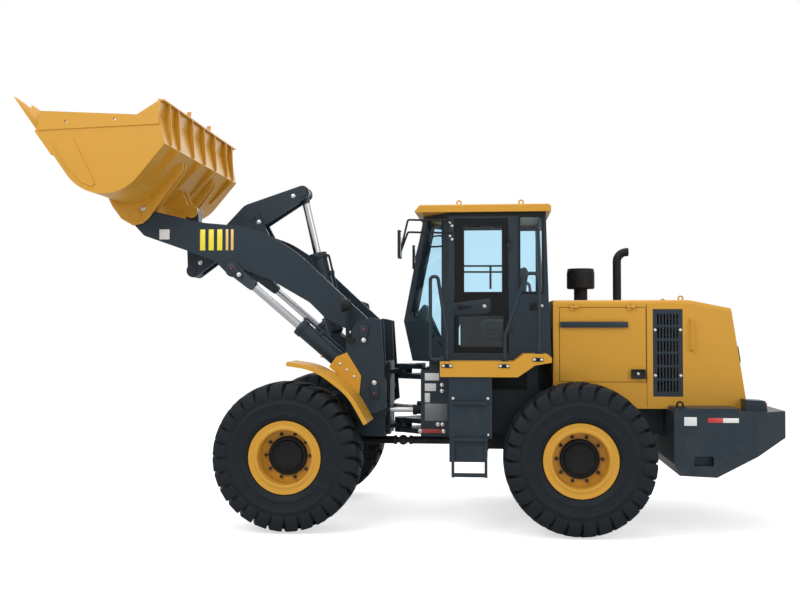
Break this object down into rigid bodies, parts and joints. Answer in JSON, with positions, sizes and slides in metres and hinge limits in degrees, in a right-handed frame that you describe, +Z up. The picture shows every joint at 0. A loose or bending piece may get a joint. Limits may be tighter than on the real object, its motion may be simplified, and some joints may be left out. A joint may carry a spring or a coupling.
{
  "type": "wheel loader",
  "caption": "Articulated wheel loader with a raised boom, rolled-back toothed bucket, glazed cab, rear engine hood and counterweight, for digging, lifting and loading loose material.",
  "frame": {"origin": "on the ground under the steering hinge, at the middle of the machine's length and width", "axes": "+X forward towards the bucket, +Y to the driver's left, +Z up"},
  "size_m": [8.2462, 3.016, 4.7076],
  "materials": {
    "yellow_paint": "gloss",
    "grey_paint": "satin",
    "black_metal": "satin",
    "black_plastic": "matte",
    "tyre_rubber": "matte",
    "window_glass": "polished",
    "chrome_rod": "polished",
    "engine_iron": "as cast",
    "seat_fabric": "woven"
  },
  "bodies": {
    "rear_frame": {"rear_chassis": "grey_paint", "rear_axle": "black_metal", "power_train": "engine_iron", "cab_shell": "grey_paint", "cab_roof": "yellow_paint", "cab_glass": "window_glass", "cab_seat": "seat_fabric", "steering_column": "black_plastic", "hood": "yellow_paint", "side_vents": "grey_paint", "counterweight": "grey_paint", "platforms": "yellow_paint", "steps": "grey_paint", "hand_rails": "grey_paint", "mirrors": "black_plastic", "pre_cleaner": "black_plastic", "exhaust": "black_metal"},
    "front_frame": {"front_chassis": "grey_paint", "front_axle": "black_metal", "front_fenders": "yellow_paint", "headlamps": "black_plastic"},
    "boom": {"boom": "grey_paint"},
    "bucket": {"bucket": "yellow_paint", "bucket_teeth": "yellow_paint"},
    "bell_crank": {"bell_crank": "grey_paint"},
    "bucket_link": {"bucket_link": "grey_paint"},
    "tilt_barrel": {"tilt_barrel": "grey_paint"},
    "tilt_rod": {"tilt_rod": "chrome_rod"},
    "cab_door": {"cab_door": "grey_paint", "cab_door_glass": "window_glass"},
    "rear_grille": {"rear_grille": "yellow_paint", "grille_handle": "black_plastic"},
    "lift_barrel_left": {"lift_barrel_left": "grey_paint"},
    "lift_rod_left": {"lift_rod_left": "chrome_rod"},
    "steer_barrel_left": {"steer_barrel_left": "black_metal"},
    "steer_rod_left": {"steer_rod_left": "chrome_rod"},
    "engine_door_left": {"engine_door_left": "yellow_paint"},
    "wheel_front_left": {"tyre_front_left": "tyre_rubber", "rim_front_left": "yellow_paint", "hub_front_left": "black_metal"},
    "wheel_rear_left": {"tyre_rear_left": "tyre_rubber", "rim_rear_left": "yellow_paint", "hub_rear_left": "black_metal"},
    "lift_barrel_right": {"lift_barrel_right": "grey_paint"},
    "lift_rod_right": {"lift_rod_right": "chrome_rod"},
    "steer_barrel_right": {"steer_barrel_right": "black_metal"},
    "steer_rod_right": {"steer_rod_right": "chrome_rod"},
    "engine_door_right": {"engine_door_right": "yellow_paint"},
    "wheel_front_right": {"tyre_front_right": "tyre_rubber", "rim_front_right": "yellow_paint", "hub_front_right": "black_metal"},
    "wheel_rear_right": {"tyre_rear_right": "tyre_rubber", "rim_rear_right": "yellow_paint", "hub_rear_right": "black_metal"}
  },
  "joints": [
    {"name": "articulation", "type": "hinge", "parent": "rear_frame", "child": "front_frame", "pos_m": [0, 0, 1.035], "axis": [0, 0, 1], "range_deg": [-35, 35]},
    {"name": "wheel_front_left_spin", "type": "hinge", "parent": "front_frame", "child": "wheel_front_left", "pos_m": [1.14, 1.125, 0.8], "axis": [0, 1, 0], "continuous": true},
    {"name": "wheel_front_right_spin", "type": "hinge", "parent": "front_frame", "child": "wheel_front_right", "pos_m": [1.14, -1.125, 0.8], "axis": [0, 1, 0], "continuous": true},
    {"name": "wheel_rear_left_spin", "type": "hinge", "parent": "rear_frame", "child": "wheel_rear_left", "pos_m": [-1.96, 1.125, 0.8], "axis": [0, 1, 0], "continuous": true},
    {"name": "wheel_rear_right_spin", "type": "hinge", "parent": "rear_frame", "child": "wheel_rear_right", "pos_m": [-1.96, -1.125, 0.8], "axis": [0, 1, 0], "continuous": true},
    {"name": "boom_lift", "type": "hinge", "parent": "front_frame", "child": "boom", "pos_m": [0.37, 0, 2.154], "axis": [0, -1, 0], "range_deg": [-62.6, 12]},
    {"name": "bucket_tilt", "type": "hinge", "parent": "boom", "child": "bucket", "pos_m": [3.023, 0, 3.462], "axis": [0, 1, 0], "range_deg": [-40, 112]},
    {"name": "crank_turn", "type": "hinge", "parent": "boom", "child": "bell_crank", "pos_m": [1.803, 0, 3.495], "axis": [0, -1, 0], "range_deg": [-9.59, 26.85]},
    {"name": "link_turn", "type": "hinge", "parent": "bell_crank", "child": "bucket_link", "pos_m": [2.521, 0, 2.861], "axis": [0, -1, 0], "range_deg": [-45.7, 16.32]},
    {"name": "lift_barrel_left_turn", "type": "hinge", "parent": "front_frame", "child": "lift_barrel_left", "pos_m": [0.251, 0.62, 1.448], "axis": [0, -1, 0], "range_deg": [-53, 10.16]},
    {"name": "lift_rod_left_slide", "type": "slide", "parent": "lift_barrel_left", "child": "lift_rod_left", "axis": [0.7614, 0, 0.6483], "range_m": [-0.64647, 0.124]},
    {"name": "steer_barrel_left_turn", "type": "hinge", "parent": "rear_frame", "child": "steer_barrel_left", "pos_m": [-0.78, 0.3, 1.23], "axis": [0, 0, 1], "range_deg": [-6.78, 6.78]},
    {"name": "steer_rod_left_slide", "type": "slide", "parent": "steer_barrel_left", "child": "steer_rod_left", "axis": [0.9992, 0.0412, 0], "range_m": [-0.20011, 0.20011]},
    {"name": "lift_barrel_right_turn", "type": "hinge", "parent": "front_frame", "child": "lift_barrel_right", "pos_m": [0.251, -0.62, 1.448], "axis": [0, -1, 0], "range_deg": [-53, 10.16]},
    {"name": "lift_rod_right_slide", "type": "slide", "parent": "lift_barrel_right", "child": "lift_rod_right", "axis": [0.7614, 0, 0.6483], "range_m": [-0.64647, 0.124]},
    {"name": "steer_barrel_right_turn", "type": "hinge", "parent": "rear_frame", "child": "steer_barrel_right", "pos_m": [-0.78, -0.3, 1.23], "axis": [0, 0, 1], "range_deg": [-6.78, 6.78]},
    {"name": "steer_rod_right_slide", "type": "slide", "parent": "steer_barrel_right", "child": "steer_rod_right", "axis": [0.9992, -0.0412, 0], "range_m": [-0.20011, 0.20011]},
    {"name": "tilt_barrel_turn", "type": "hinge", "parent": "front_frame", "child": "tilt_barrel", "pos_m": [0.79, 0, 2.03], "axis": [0, -1, 0], "range_deg": [-72.15, 13.83]},
    {"name": "tilt_rod_slide", "type": "slide", "parent": "tilt_barrel", "child": "tilt_rod", "axis": [0.2266, 0, 0.974], "range_m": [-0.47863, 0.171]},
    {"name": "cab_door_swing", "type": "hinge", "parent": "rear_frame", "child": "cab_door", "pos_m": [-1.232, 0.82, 2.645], "axis": [0, 0, 1], "range_deg": [0, 65]},
    {"name": "engine_door_left_lift", "type": "hinge", "parent": "rear_frame", "child": "engine_door_left", "pos_m": [-2.25, 0.78, 2.4], "axis": [1, 0, 0], "range_deg": [0, 85]},
    {"name": "engine_door_right_lift", "type": "hinge", "parent": "rear_frame", "child": "engine_door_right", "pos_m": [-2.25, -0.78, 2.4], "axis": [-1, 0, 0], "range_deg": [0, 85]},
    {"name": "rear_grille_swing", "type": "hinge", "parent": "rear_frame", "child": "rear_grille", "pos_m": [-3.71428, -0.6, 1.87799], "axis": [0.1497, 0, 0.9887], "range_deg": [0, 100]}
  ],
  "couplings": [
    {"joint": "crank_turn", "follows": "bucket_tilt", "ratio": 0.235},
    {"joint": "link_turn", "follows": "bucket_tilt", "ratio": -0.4},
    {"joint": "lift_barrel_left_turn", "follows": "boom_lift", "ratio": 0.83},
    {"joint": "lift_rod_left_slide", "follows": "boom_lift", "m_per_rad": 0.58},
    {"joint": "steer_barrel_left_turn", "follows": "articulation", "ratio": 0.19},
    {"joint": "steer_rod_left_slide", "follows": "articulation", "m_per_rad": -0.321},
    {"joint": "lift_barrel_right_turn", "follows": "boom_lift", "ratio": 0.83},
    {"joint": "lift_rod_right_slide", "follows": "boom_lift", "m_per_rad": 0.58},
    {"joint": "steer_barrel_right_turn", "follows": "articulation", "ratio": 0.19},
    {"joint": "steer_rod_right_slide", "follows": "articulation", "m_per_rad": 0.321},
    {"joint": "tilt_barrel_turn", "follows": "boom_lift", "ratio": 1.13},
    {"joint": "tilt_rod_slide", "follows": "bucket_tilt", "m_per_rad": -0.24}
  ]
}
